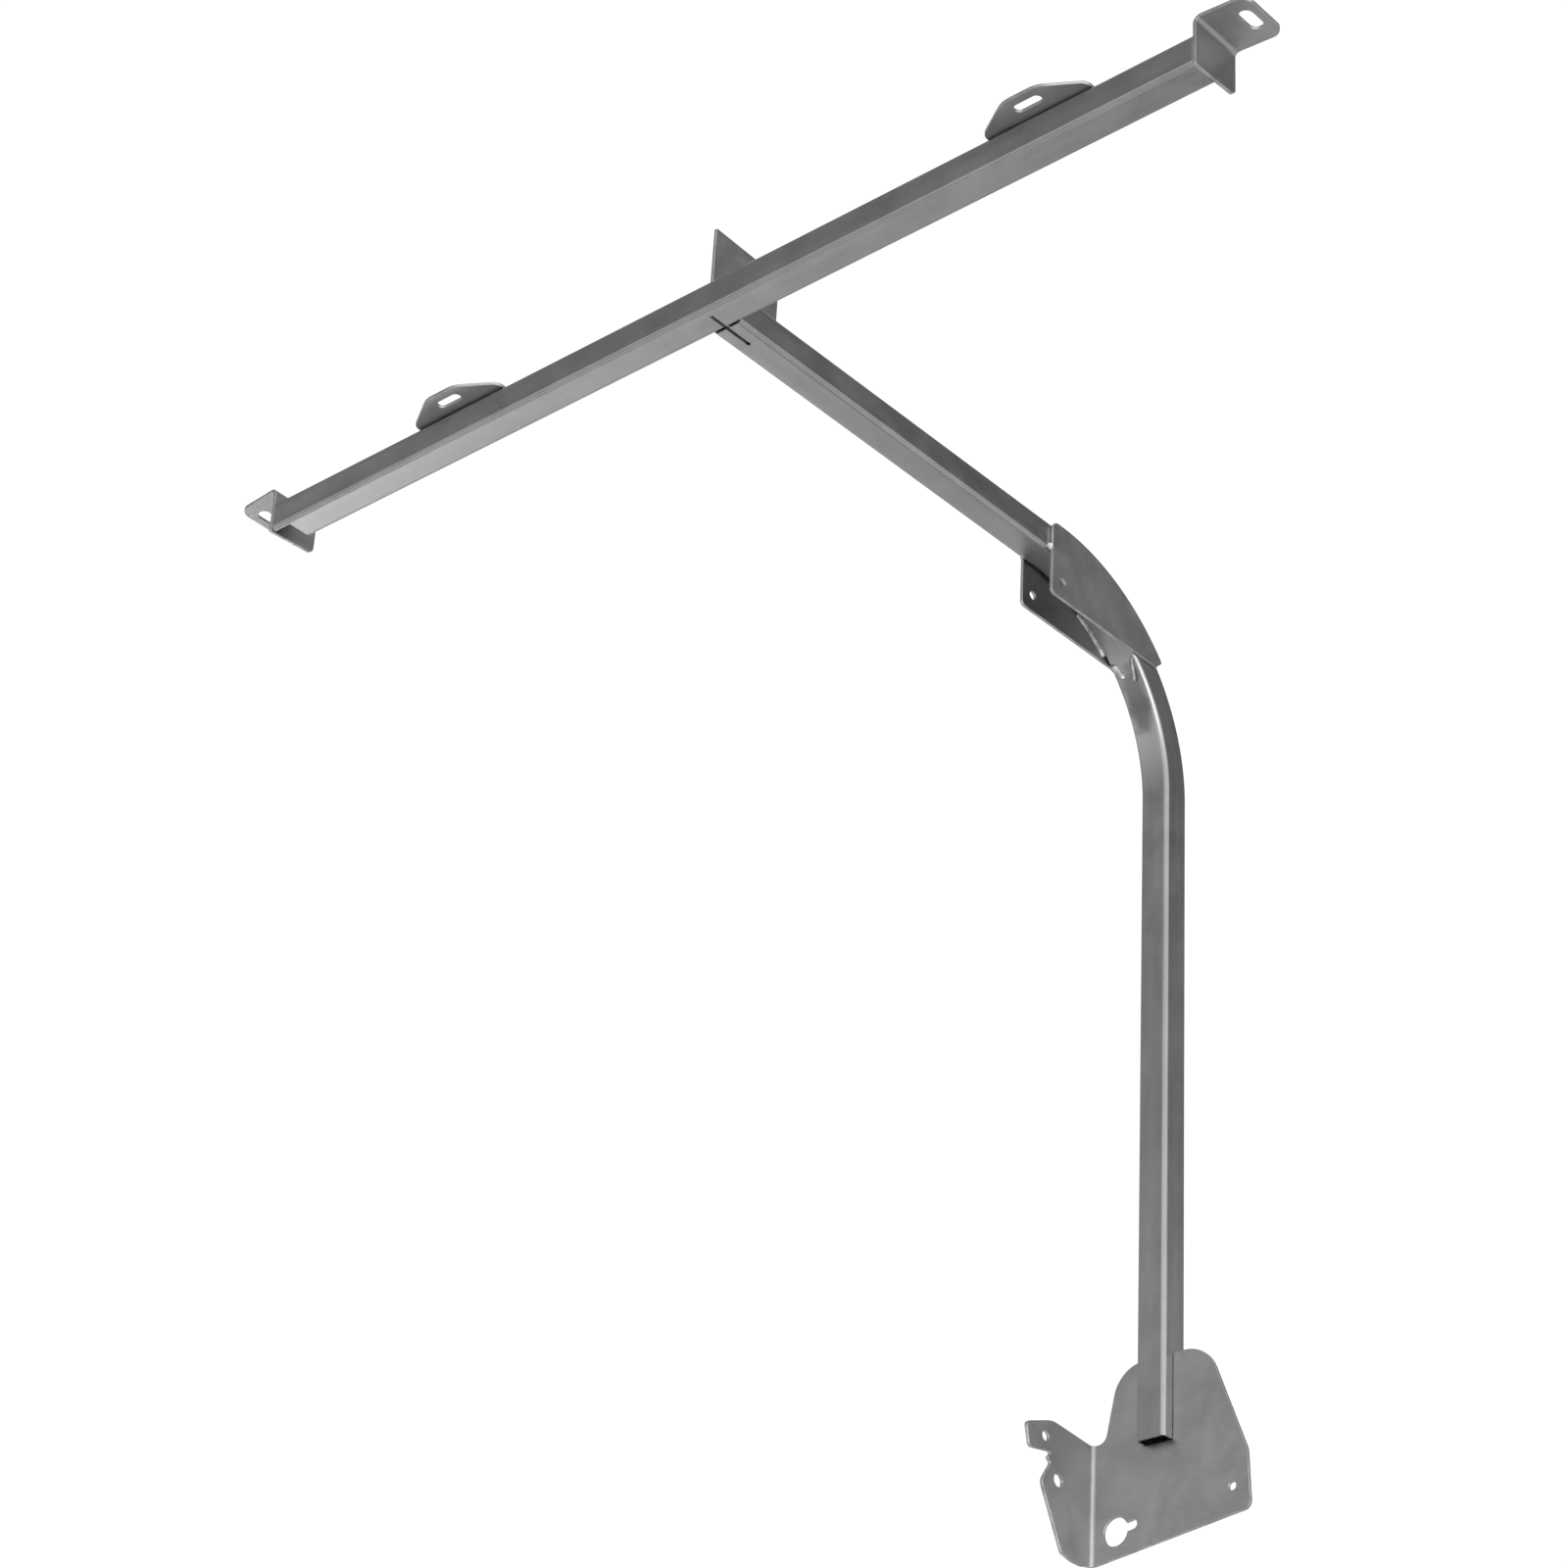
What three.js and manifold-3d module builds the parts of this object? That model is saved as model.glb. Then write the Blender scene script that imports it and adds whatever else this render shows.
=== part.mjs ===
// Welded steel security bar: a crossbar, an arm that bends down into a post, and a floor bracket.
// Millimetres. +Z is up, +X runs along the crossbar, and the arm runs in +Y from crossbar to post.
// The origin is on the floor bracket's rear face, straight below the post's axis.

import * as THREE from 'three';
import { mergeVertices } from 'three/addons/utils/BufferGeometryUtils.js';
import Module from 'manifold-3d';

const wasm = await Module();
wasm.setup();

// ---------------------------------------------------------------- driving dimensions

// Stock: one size of square tube and one thickness of sheet.
const TUBE = 30;
const HALF = TUBE / 2;
const WALL = 2;
const TUBE_CORNER = 4.5;
const SHEET = 3;
const GAP = 0.3; // clearance left between pieces that touch

// Frame: the crossbar's two ends, the arm's reach, the bend and the post's drop.
const BAR_LEFT = 529;
const BAR_RIGHT = 501;
const LEFT_RELIEF = 20; // how far in from its left end the crossbar is cut open
const REACH = 624.5; // crossbar axis to post axis
const DROP = 801; // crossbar axis to the post's lower end
const BEND_RADIUS = 180; // on the tube's centreline

const POST_END = 23; // height of the post's lower end above the origin

// Places that follow from them.
const BAR_Y = -REACH;
const BAR_Z = POST_END + DROP;
const BEND_Y = REACH - BEND_RADIUS; // bend centre, measured from the crossbar axis
const BEND_Z = -BEND_RADIUS;

// End brackets: a plate over each end of the crossbar, folded outwards into a drooping tab.
const END_WIDTH = 51.8;
const END_BOTTOM_FRONT = -16.4;
const END_BOTTOM_REAR = -13;
const END_CORNER = 6;
const TAB_UNDERSIDE = 29; // height above the crossbar axis, at the fold
const TAB_REACH = 49.6; // from the plate's inner face to the tab's tip
const TAB_DROOP = THREE.MathUtils.degToRad(5);
const TAB_CORNER = 11;
const TAB_SLOT = { x: 36.3, y: 10.2, width: 12, length: 24 };
const FOLD_INSIDE = 4; // inside radius of every fold
const FOLD_OUTSIDE = FOLD_INSIDE + SHEET;

// Ears: slotted lugs on top of the crossbar, reaching forwards.
const EAR_LEFT_X = -291.5;
const EAR_RIGHT_X = 351.5;
const EAR_BASE = 52; // half width at the crossbar's front face
const EAR_TIP = 17; // half width at the outer edge, before rounding
const EAR_SHOULDER = -19; // where the sides turn inwards
const EAR_FRONT = -40.2;
const EAR_BACK = 6;
const EAR_CORNER = 26;
const EAR_SLOT = { y: -27.4, width: 9, length: 26 };

// Centre fin: an upright plate whose tongue drops through slots in the crossbar and the arm.
const FIN_FRONT = -8.2;
const FIN_REAR = 72;
const FIN_TOP_FRONT = 76.5;
const FIN_TOP_REAR = 73.5;
const TONGUE_FRONT = -5.2;
const TONGUE_REAR = 42.8;
const TONGUE_END = -12.5; // a little above the tubes' undersides

// Elbow plates: one on each side of the bend, flush with its outer curve.
const ELBOW_FRONT = 432.6;
const ELBOW_CHORD = -60.6;
const ELBOW_ARC = { y: 447, z: -180.9, radius: 197.4 };
const ELBOW_END_Y = 594.6; // where the outer arc stops
const ELBOW_HEEL_Y = 588; // where the end meets the chord
const ELBOW_HOLE = { y: 447.6, z: -43.5, radius: 4.25 };

// Floor bracket: a plate notched round the post and a flange folded forwards along its left side.
const FOOT_TOP = 99.7;
const FOOT_SHELF = 34.6;
const FLANGE_INNER_X = -67.8;
const FLANGE_OUTER_X = FLANGE_INNER_X - SHEET;
const FOOT_HOLE = { x: 75, z: -31.3, radius: 3.7 };
const KEYHOLE = { x: -43.4, z: -45.8, radius: 12.5, tailX: -25.3, tailZ: -43, tailHalf: 4 };
const FLANGE_HOLES = [
  { y: -66.9, z: 22.7, radius: 4.3 },
  { y: -48.9, z: -10.6, radius: 5.7 },
];

const CORNER_STEP = 22.5; // degrees of turn per facet of a rounded corner

// Weld beads.
const BEAD = 3.2; // leg of a fillet bead
const ROD_BEAD = 1.8; // radius of a bead laid in the groove beside a tube corner

// ---------------------------------------------------------------- materials

const steel = (color, roughness) => new THREE.MeshStandardMaterial({ color, roughness, metalness: 1 });

const tubeSteel = () => steel(0x8f9092, 0.34);
const sheetSteel = () => steel(0x7b7c7e, 0.42);
const weldMetal = () => steel(0x8a8988, 0.5);

// ---------------------------------------------------------------- solids

function toSolid(geometry) {
  const bare = geometry.clone();
  bare.deleteAttribute('normal');
  bare.deleteAttribute('uv');
  const merged = mergeVertices(bare, 1e-4);
  return new wasm.Manifold(new wasm.Mesh({
    numProp: 3,
    vertProperties: new Float32Array(merged.attributes.position.array),
    triVerts: new Uint32Array(merged.index.array),
  }));
}

function toGeometry(solid) {
  const mesh = solid.getMesh();
  const geometry = new THREE.BufferGeometry();
  geometry.setAttribute('position', new THREE.BufferAttribute(mesh.vertProperties, 3));
  geometry.setIndex(new THREE.BufferAttribute(mesh.triVerts, 1));
  geometry.computeVertexNormals();
  return geometry;
}

const axisX = new THREE.Vector3(1, 0, 0);
const axisY = new THREE.Vector3(0, 1, 0);
const axisZ = new THREE.Vector3(0, 0, 1);

// Extrudes a drawn shape so that its x, y and depth lie along u, v and u × v, from origin.
function extrude(shape, depth, u, v, origin, curveSegments = 5) {
  const geometry = new THREE.ExtrudeGeometry(shape, { depth, curveSegments, bevelEnabled: false });
  const basis = new THREE.Matrix4().makeBasis(u, v, new THREE.Vector3().crossVectors(u, v));
  geometry.applyMatrix4(basis.setPosition(origin));
  return geometry;
}

// A shape drawn in (Y, Z), from x = from to x = to.
function plateAcrossX(shape, from, to, curveSegments) {
  return extrude(shape, to - from, axisY, axisZ, new THREE.Vector3(from, 0, 0), curveSegments);
}

// A shape drawn in (X, Z), from y = rear forwards (towards -Y) by depth.
function plateAcrossY(shape, rear, depth, curveSegments) {
  return extrude(shape, depth, axisX, axisZ, new THREE.Vector3(0, rear, 0), curveSegments);
}

// ---------------------------------------------------------------- outlines

// The points that round a corner [x, y, radius] off; a corner without a radius stays sharp.
function cornerPoints(before, corner, after) {
  const [x, y, radius = 0] = corner;
  if (radius === 0) return [new THREE.Vector2(x, y)];
  const back = new THREE.Vector2(before[0] - x, before[1] - y).normalize();
  const ahead = new THREE.Vector2(after[0] - x, after[1] - y).normalize();
  const halfAngle = Math.acos(THREE.MathUtils.clamp(back.dot(ahead), -1, 1)) / 2;
  const middle = back.clone().add(ahead).setLength(radius / Math.sin(halfAngle));
  const centre = new THREE.Vector2(x + middle.x, y + middle.y);
  const apex = middle.clone().negate().setLength(radius);
  const turn = Math.PI - halfAngle * 2;
  const sign = Math.sign(back.cross(ahead)) * -1;
  const steps = Math.max(1, Math.ceil(turn / THREE.MathUtils.degToRad(CORNER_STEP)));
  const points = [];
  for (let i = 0; i <= steps; i += 1) {
    const angle = sign * turn * (i / steps - 0.5);
    points.push(apex.clone().rotateAround(new THREE.Vector2(), angle).add(centre));
  }
  return points;
}

// A closed outline through its corners, listed anticlockwise.
function outline(corners) {
  const count = corners.length;
  return new THREE.Shape(corners.flatMap((corner, i) => (
    cornerPoints(corners[(i + count - 1) % count], corner, corners[(i + 1) % count])
  )));
}

function rectangle(left, bottom, right, top, radius = 0) {
  return outline([
    [left, bottom, radius],
    [right, bottom, radius],
    [right, top, radius],
    [left, top, radius],
  ]);
}

function roundHole(x, y, radius) {
  return new THREE.Path().absarc(x, y, radius, 0, Math.PI * 2, true);
}

// A slot with round ends, from one end's centre to the other's.
function slotHole(ax, ay, bx, by, radius) {
  const along = Math.atan2(by - ay, bx - ax);
  const path = new THREE.Path();
  path.absarc(bx, by, radius, along + Math.PI / 2, along - Math.PI / 2, true);
  path.absarc(ax, ay, radius, along - Math.PI / 2, along - Math.PI * 1.5, true);
  path.closePath();
  return path;
}

// A round hole that opens into a narrower tail with a round end.
function keyhole({ x, z, radius, tailX, tailZ, tailHalf }) {
  const along = Math.atan2(tailZ - z, tailX - x);
  const mouth = Math.asin(tailHalf / radius);
  const path = new THREE.Path();
  path.absarc(x, z, radius, along - mouth, along + mouth, true);
  path.absarc(tailX, tailZ, tailHalf, along + Math.PI / 2, along - Math.PI / 2, true);
  path.closePath();
  return path;
}

// The tube's section: a rounded square with a rounded square bore.
function tubeSection() {
  const section = rectangle(-HALF, -HALF, HALF, HALF, TUBE_CORNER);
  const inner = HALF - WALL;
  section.holes.push(rectangle(-inner, -inner, inner, inner, TUBE_CORNER - WALL));
  return section;
}

// ---------------------------------------------------------------- tubes

// The slot that lets the fin's tongue through the walls of the crossbar and the arm.
function tongueSlot() {
  const side = SHEET / 2 + GAP;
  const slot = rectangle(TONGUE_FRONT - GAP, -TUBE, TONGUE_REAR + GAP, TUBE);
  return toSolid(plateAcrossX(slot, -side, side));
}

// The relief at the crossbar's left end: the underside and the rear wall are cut away.
function leftEndRelief() {
  const edge = HALF - TUBE_CORNER;
  const relief = rectangle(-edge, -TUBE, TUBE, edge);
  return toSolid(plateAcrossX(relief, -BAR_LEFT - SHEET, -BAR_LEFT + LEFT_RELIEF));
}

function crossbarTube() {
  const start = new THREE.Vector3(-BAR_LEFT, 0, 0);
  const tube = extrude(tubeSection(), BAR_LEFT + BAR_RIGHT, axisY, axisZ, start, 2);
  return toGeometry(toSolid(tube).subtract(tongueSlot()).subtract(leftEndRelief()));
}

// The arm, the bend and the post as one line, with one step for each straight stretch.
class BentTubePath extends THREE.Curve {
  constructor(bendSteps) {
    super();
    this.steps = bendSteps + 2;
    this.bendSteps = bendSteps;
  }

  // Even steps of t give the stations, so the curve isn't measured by length.
  getUtoTmapping(u) {
    return u;
  }

  bendAngle(t) {
    return THREE.MathUtils.clamp((t * this.steps - 1) / this.bendSteps, 0, 1) * Math.PI / 2;
  }

  getPoint(t, target = new THREE.Vector3()) {
    const station = t * this.steps;
    const angle = this.bendAngle(t);
    const armStart = HALF + GAP;
    target.set(0, BEND_Y + BEND_RADIUS * Math.sin(angle), BEND_Z + BEND_RADIUS * Math.cos(angle));
    if (station < 1) target.y = THREE.MathUtils.lerp(armStart, BEND_Y, station);
    if (station > this.steps - 1) target.z = THREE.MathUtils.lerp(-DROP, BEND_Z, this.steps - station);
    return target;
  }

  getTangent(t, target = new THREE.Vector3()) {
    const angle = this.bendAngle(t);
    return target.set(0, Math.cos(angle), -Math.sin(angle));
  }
}

function armPostTube() {
  const path = new BentTubePath(24);
  const tube = new THREE.ExtrudeGeometry(tubeSection(), {
    steps: path.steps,
    extrudePath: path,
    curveSegments: 2,
    bevelEnabled: false,
  });
  return toGeometry(toSolid(tube).subtract(tongueSlot()));
}

// ---------------------------------------------------------------- end brackets

// The folded section in (X, Z), x = 0 on the face that meets the crossbar and the tab towards +X.
function endBracketSection() {
  const foldX = FOLD_OUTSIDE;
  const foldZ = TAB_UNDERSIDE - FOLD_INSIDE;
  const upright = Math.PI;
  const droop = Math.PI / 2 - TAB_DROOP;
  const tabLength = (TAB_REACH - foldX) / Math.cos(TAB_DROOP);
  const tip = new THREE.Vector2(tabLength * Math.cos(TAB_DROOP), -tabLength * Math.sin(TAB_DROOP));
  const normal = new THREE.Vector2(Math.sin(TAB_DROOP), Math.cos(TAB_DROOP));
  const section = new THREE.Shape();
  section.moveTo(0, -TUBE);
  section.lineTo(SHEET, -TUBE);
  section.absarc(foldX, foldZ, FOLD_INSIDE, upright, droop, true);
  section.lineTo(foldX + tip.x + normal.x * FOLD_INSIDE, foldZ + tip.y + normal.y * FOLD_INSIDE);
  section.lineTo(foldX + tip.x + normal.x * FOLD_OUTSIDE, foldZ + tip.y + normal.y * FOLD_OUTSIDE);
  section.absarc(foldX, foldZ, FOLD_OUTSIDE, droop, upright, false);
  section.closePath();
  return section;
}

// The plate's outline in (Y, Z), open at the top where the fold begins.
function endPlateOutline() {
  const rear = END_WIDTH - HALF;
  return outline([
    [-HALF, END_BOTTOM_FRONT, 1.5],
    [rear, END_BOTTOM_REAR, END_CORNER],
    [rear, TUBE * 2],
    [-HALF, TUBE * 2],
  ]);
}

// The tab's outline in (X, Y) with its slot, open towards the fold.
function tabOutline() {
  const rear = END_WIDTH - HALF;
  const half = (TAB_SLOT.length - TAB_SLOT.width) / 2;
  const shape = outline([
    [FOLD_INSIDE, -HALF],
    [TAB_REACH, -HALF, TAB_CORNER],
    [TAB_REACH, rear, TAB_CORNER],
    [FOLD_INSIDE, rear],
  ]);
  const slot = slotHole(TAB_SLOT.x, TAB_SLOT.y - half, TAB_SLOT.x, TAB_SLOT.y + half, TAB_SLOT.width / 2);
  shape.holes.push(slot);
  return shape;
}

// A right-hand end bracket; the left one is its mirror image.
function endBracketSolid() {
  const rear = END_WIDTH - HALF;
  const folded = toSolid(plateAcrossY(endBracketSection(), rear, END_WIDTH, 4));
  const plateCutter = toSolid(plateAcrossX(endPlateOutline(), -1, FOLD_OUTSIDE));
  const foldZ = TAB_UNDERSIDE - FOLD_INSIDE;
  const tabCutter = extrude(tabOutline(), TUBE, axisX, axisY, new THREE.Vector3(-FOLD_OUTSIDE, 0, 0));
  tabCutter.rotateY(TAB_DROOP).translate(FOLD_OUTSIDE, 0, foldZ);
  return folded.intersect(plateCutter.add(toSolid(tabCutter)));
}

function rightEndBracket() {
  return toGeometry(endBracketSolid()).translate(BAR_RIGHT + GAP, 0, 0);
}

function leftEndBracket() {
  const mirrored = endBracketSolid().mirror([1, 0, 0]);
  return toGeometry(mirrored).translate(-BAR_LEFT - GAP, 0, 0);
}

// ---------------------------------------------------------------- ears, fin and elbow plates

function ear(x) {
  const half = (EAR_SLOT.length - EAR_SLOT.width) / 2;
  const shape = outline([
    [x - EAR_BASE, EAR_BACK, 2],
    [x - EAR_BASE, EAR_SHOULDER, 10],
    [x - EAR_TIP, EAR_FRONT, EAR_CORNER],
    [x + EAR_TIP, EAR_FRONT, EAR_CORNER],
    [x + EAR_BASE, EAR_SHOULDER, 10],
    [x + EAR_BASE, EAR_BACK, 2],
  ]);
  shape.holes.push(slotHole(x - half, EAR_SLOT.y, x + half, EAR_SLOT.y, EAR_SLOT.width / 2));
  return extrude(shape, SHEET, axisX, axisY, new THREE.Vector3(0, 0, HALF + GAP));
}

function centreFin() {
  const seat = HALF + GAP;
  const shape = outline([
    [FIN_FRONT, seat],
    [TONGUE_FRONT, seat],
    [TONGUE_FRONT, TONGUE_END, 1],
    [TONGUE_REAR, TONGUE_END, 1],
    [TONGUE_REAR, seat],
    [FIN_REAR, seat],
    [FIN_REAR, FIN_TOP_REAR, 2],
    [FIN_FRONT, FIN_TOP_FRONT, 1],
  ]);
  return plateAcrossX(shape, -SHEET / 2, SHEET / 2);
}

// The outline in (Y, Z): straight front and chord, and an outer edge that follows the bend.
function elbowOutline() {
  const { y, z, radius } = ELBOW_ARC;
  const curve = [];
  const steps = 12;
  for (let i = steps; i >= 0; i -= 1) {
    const across = Math.asin((ELBOW_END_Y - y) / radius) * i / steps;
    curve.push([y + radius * Math.sin(across), z + radius * Math.cos(across)]);
  }
  const shape = outline([
    [ELBOW_FRONT, ELBOW_CHORD, 5],
    [ELBOW_HEEL_Y, ELBOW_CHORD],
    [ELBOW_END_Y + 2, ELBOW_CHORD + 8.2, 3],
    ...curve,
    [ELBOW_FRONT, z + radius, 8],
  ]);
  shape.holes.push(roundHole(ELBOW_HOLE.y, ELBOW_HOLE.z, ELBOW_HOLE.radius));
  return shape;
}

function elbowPlate(side) {
  const inner = HALF + GAP;
  const from = side > 0 ? inner : -inner - SHEET;
  return plateAcrossX(elbowOutline(), from, from + SHEET, 8);
}

// ---------------------------------------------------------------- floor bracket

// The folded section in (X, Y): plate along X, flange along -Y at its left.
function footSection() {
  const foldX = FLANGE_OUTER_X + FOLD_OUTSIDE;
  const foldY = -FOLD_OUTSIDE;
  const section = new THREE.Shape();
  section.moveTo(100, -SHEET);
  section.lineTo(100, 0);
  section.absarc(foldX, foldY, FOLD_OUTSIDE, Math.PI / 2, Math.PI, false);
  section.lineTo(FLANGE_OUTER_X, -110);
  section.lineTo(FLANGE_INNER_X, -110);
  section.absarc(foldX, foldY, FOLD_INSIDE, Math.PI, Math.PI / 2, true);
  section.closePath();
  return section;
}

// The plate's outline in (X, Z) with the notch that takes the post, run on to the left past the fold.
function footPlateOutline() {
  const pastFold = FLANGE_OUTER_X - 2;
  const notch = HALF + GAP;
  const shape = outline([
    [pastFold, -72.7],
    [93.3, -53.3, 7],
    [90.3, -2.1, 20],
    [49.7, FOOT_TOP, 35],
    [notch, FOOT_TOP],
    [notch, POST_END - GAP],
    [-notch, POST_END - GAP],
    [-notch, FOOT_TOP],
    [-41.2, FOOT_TOP, 31],
    [-55.3, FOOT_SHELF, 9],
    [pastFold, FOOT_SHELF],
  ]);
  shape.holes.push(roundHole(FOOT_HOLE.x, FOOT_HOLE.z, FOOT_HOLE.radius));
  shape.holes.push(keyhole(KEYHOLE));
  return shape;
}

// The flange's outline in (Y, Z): a hooked finger above a notch, over a tapered leg.
function flangeOutline() {
  const fold = -FOLD_OUTSIDE;
  const shape = outline([
    [fold, FOOT_SHELF],
    [-58.1, 39.6, 30],
    [-92.9, 27.5, 5],
    [-88, 6.4, 4],
    [-58.6, 11.2, 1.2],
    [-64, 5.2, 1.5],
    [-59.6, 1.3, 2],
    [-71.5, -17.5, 9],
    [-42.9, -71.6, 4],
    [-28.8, -74.6, 12],
    [-15.9, -74.6, 12],
    [fold, -72.6],
  ]);
  FLANGE_HOLES.forEach((hole) => shape.holes.push(roundHole(hole.y, hole.z, hole.radius)));
  return shape;
}

function floorBracket() {
  const folded = extrude(footSection(), TUBE * 7, axisX, axisY, new THREE.Vector3(0, 0, -TUBE * 3.5), 4);
  const plateCutter = toSolid(plateAcrossY(footPlateOutline(), 1, FOLD_OUTSIDE + 1));
  const flangeCutter = toSolid(plateAcrossX(flangeOutline(), FLANGE_OUTER_X - 1, FLANGE_INNER_X + 1));
  return toGeometry(toSolid(folded).intersect(plateCutter.add(flangeCutter)));
}

// ---------------------------------------------------------------- weld beads

// A convex fillet between two faces that meet at a right angle along u × v.
function filletBead(corner, u, v, length, leg = BEAD) {
  const shape = new THREE.Shape();
  const bulge = GAP + leg * 0.78;
  shape.moveTo(GAP, GAP);
  shape.lineTo(GAP + leg, GAP);
  shape.quadraticCurveTo(bulge, bulge, GAP, GAP + leg);
  shape.closePath();
  return extrude(shape, length, u, v, new THREE.Vector3(...corner), 3);
}

// A round bead laid along the bend's inner face, between two angles from the vertical.
function bendBead(x, radial, startDegrees, endDegrees, radius = ROD_BEAD) {
  const start = THREE.MathUtils.degToRad(90 - startDegrees);
  const end = THREE.MathUtils.degToRad(90 - endDegrees);
  const points = [];
  const steps = 8;
  for (let i = 0; i <= steps; i += 1) {
    const angle = THREE.MathUtils.lerp(start, end, i / steps);
    points.push(new THREE.Vector3(x, BEND_Y + radial * Math.cos(angle), BEND_Z + radial * Math.sin(angle)));
  }
  const path = new THREE.CatmullRomCurve3(points);
  const round = new THREE.Shape().absarc(0, 0, radius, 0, Math.PI * 2, false);
  return new THREE.ExtrudeGeometry(round, { steps, extrudePath: path, curveSegments: 4, bevelEnabled: false });
}

const negX = axisX.clone().negate();
const negY = axisY.clone().negate();

function finBeads() {
  const side = SHEET / 2;
  const runs = [
    { place: 'bar', rear: 9.5, length: 17.5 },
    { place: 'arm', rear: 68, length: 44 },
  ];
  return runs.flatMap(({ place, rear, length }) => [
    [`weld_fin_${place}_right`, filletBead([side, rear, HALF], axisX, axisZ, length)],
    [`weld_fin_${place}_left`, filletBead([-side, rear, HALF], axisZ, negX, length)],
  ]);
}

function armBeads() {
  const low = -9;
  const length = 18;
  return [
    ['weld_arm_right', filletBead([HALF, HALF, low], axisX, axisY, length)],
    ['weld_arm_left', filletBead([-HALF, HALF, low], axisY, negX, length)],
  ];
}

function endBracketBeads() {
  const right = BAR_RIGHT + GAP;
  const left = -BAR_LEFT - GAP;
  const start = -9;
  const length = 18;
  return [
    ['weld_right_end_top', filletBead([right, start, HALF], negX, axisZ, length)],
    ['weld_right_end_rear', filletBead([right, HALF, start], axisY, negX, length)],
    ['weld_left_end_top', filletBead([left, start, HALF], axisZ, axisX, length)],
  ];
}

function earBeads() {
  const length = 80;
  const leg = SHEET - 0.3;
  const bead = (x) => filletBead([x - length / 2, EAR_BACK, HALF], axisY, axisZ, length, leg);
  return [
    ['weld_left_ear', bead(EAR_LEFT_X)],
    ['weld_right_ear', bead(EAR_RIGHT_X)],
  ];
}

function elbowBeads() {
  const low = -15;
  const length = 8;
  const seam = BEND_RADIUS - HALF - 1.6; // in the groove beside the tube's inner corners
  const seamX = HALF + GAP - ROD_BEAD - 0.4;
  const heel = BEND_RADIUS - HALF - GAP - ROD_BEAD - 0.1;
  const heelX = 5;
  return [
    ['weld_elbow_front_right', filletBead([HALF, ELBOW_FRONT, low], negY, axisX, length)],
    ['weld_elbow_front_left', filletBead([-HALF, ELBOW_FRONT, low], negX, negY, length)],
    ['weld_elbow_seam_right', bendBead(seamX, seam, 24, 41)],
    ['weld_elbow_seam_left', bendBead(-seamX, seam, 24, 41)],
    ['weld_elbow_heel_right', bendBead(heelX, heel, 44, 52)],
    ['weld_elbow_heel_left', bendBead(-heelX, heel, 44, 50)],
  ];
}

function footBeads() {
  const low = POST_END + 6;
  const length = 68;
  return [
    ['weld_post_right', filletBead([HALF, 0, low], axisX, axisY, length)],
    ['weld_post_left', filletBead([-HALF, 0, low], axisY, negX, length)],
  ];
}

// ---------------------------------------------------------------- assembly

function addPieces(group, pieces, material) {
  pieces.forEach(([name, geometry]) => {
    const mesh = new THREE.Mesh(geometry, material());
    mesh.name = name;
    group.add(mesh);
  });
}

// Everything measured from the crossbar's axis where it crosses the arm's centre plane.
function upperFrame() {
  const group = new THREE.Group();
  group.position.set(0, BAR_Y, BAR_Z);
  addPieces(group, [
    ['crossbar_tube', crossbarTube()],
    ['arm_post_tube', armPostTube()],
  ], tubeSteel);
  addPieces(group, [
    ['left_end_bracket', leftEndBracket()],
    ['right_end_bracket', rightEndBracket()],
    ['left_ear', ear(EAR_LEFT_X)],
    ['right_ear', ear(EAR_RIGHT_X)],
    ['centre_fin', centreFin()],
    ['elbow_plate_left', elbowPlate(-1)],
    ['elbow_plate_right', elbowPlate(1)],
  ], sheetSteel);
  const beads = [...finBeads(), ...armBeads(), ...endBracketBeads(), ...earBeads(), ...elbowBeads()];
  addPieces(group, beads, weldMetal);
  return group;
}

// Everything measured from the origin.
function foot() {
  const group = new THREE.Group();
  addPieces(group, [['floor_bracket', floorBracket()]], sheetSteel);
  addPieces(group, footBeads(), weldMetal);
  return group;
}

const securityBar = new THREE.Group();
securityBar.add(upperFrame(), foot());

export default securityBar;
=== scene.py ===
"""Looks of the welded square-tube security bar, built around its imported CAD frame.

Pieces are drawn in millimetres and written to Blender in metres, in the CAD frame: +X along the
crossbar, +Y from crossbar to post, +Z up, origin on the floor bracket's rear face below the post's axis.
"""

import math

import bmesh
import bpy
from mathutils import Matrix, Vector, noise
from mathutils.geometry import delaunay_2d_cdt

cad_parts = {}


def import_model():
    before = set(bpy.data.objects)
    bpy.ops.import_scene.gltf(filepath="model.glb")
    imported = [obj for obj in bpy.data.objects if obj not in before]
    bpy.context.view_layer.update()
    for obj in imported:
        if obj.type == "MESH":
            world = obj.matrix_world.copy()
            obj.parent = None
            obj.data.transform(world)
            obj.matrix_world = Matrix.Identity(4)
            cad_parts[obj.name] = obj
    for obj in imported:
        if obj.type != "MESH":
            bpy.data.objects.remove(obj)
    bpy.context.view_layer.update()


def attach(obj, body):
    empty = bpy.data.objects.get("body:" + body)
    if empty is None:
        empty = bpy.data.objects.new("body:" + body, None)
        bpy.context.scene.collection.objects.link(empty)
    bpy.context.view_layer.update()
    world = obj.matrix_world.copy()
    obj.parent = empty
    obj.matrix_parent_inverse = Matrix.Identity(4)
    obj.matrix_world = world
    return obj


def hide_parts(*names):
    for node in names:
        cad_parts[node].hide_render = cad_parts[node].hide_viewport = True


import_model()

MM = 0.001

# ------------------------------------------------------------------ dimensions (mm)

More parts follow.
